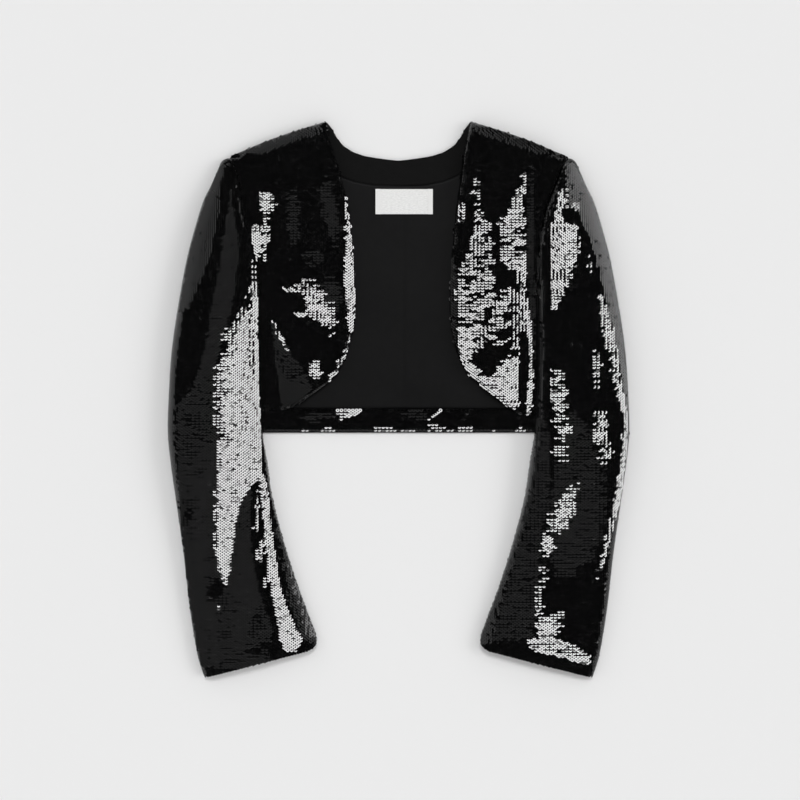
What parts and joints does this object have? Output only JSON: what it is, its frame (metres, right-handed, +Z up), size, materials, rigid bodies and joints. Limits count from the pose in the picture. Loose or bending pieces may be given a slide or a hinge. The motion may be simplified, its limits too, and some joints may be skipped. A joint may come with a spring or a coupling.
{
  "type": "bolero jacket",
  "caption": "Cropped open-front bolero with long sleeves, covered in flat black sequins, lined, lying flat on its back with the front up.",
  "frame": {"origin": "on the surface the jacket lies on, under the middle of its bounding box", "axes": "+Y along the jacket towards the neck, +Z up from the surface through the thin way of the laid-flat garment, +X across to the right as seen from above"},
  "size_m": [0.5388, 0.648, 0.0289],
  "materials": {
    "sequin_cloth": "black knit mesh covered in overlapping flat mirror-bright black sequins",
    "lining_satin": "smooth dark charcoal satin lining, low sheen",
    "neck_crepe": "matte black crepe facing",
    "label_weave": "white woven satin label, plain, with folded ends"
  },
  "bodies": {
    "root": {"back_panel": "sequin_cloth", "back_lining": "lining_satin", "back_neck_facing": "neck_crepe", "back_hem_facing": "sequin_cloth", "neck_label": "label_weave", "front_left": "sequin_cloth", "front_right": "sequin_cloth", "sleeve_top_left": "sequin_cloth", "sleeve_top_right": "sequin_cloth", "sleeve_under_cap_left": "sequin_cloth", "sleeve_under_cap_right": "sequin_cloth", "sleeve_under_left": "sequin_cloth", "sleeve_under_right": "sequin_cloth"}
  },
  "joints": []
}
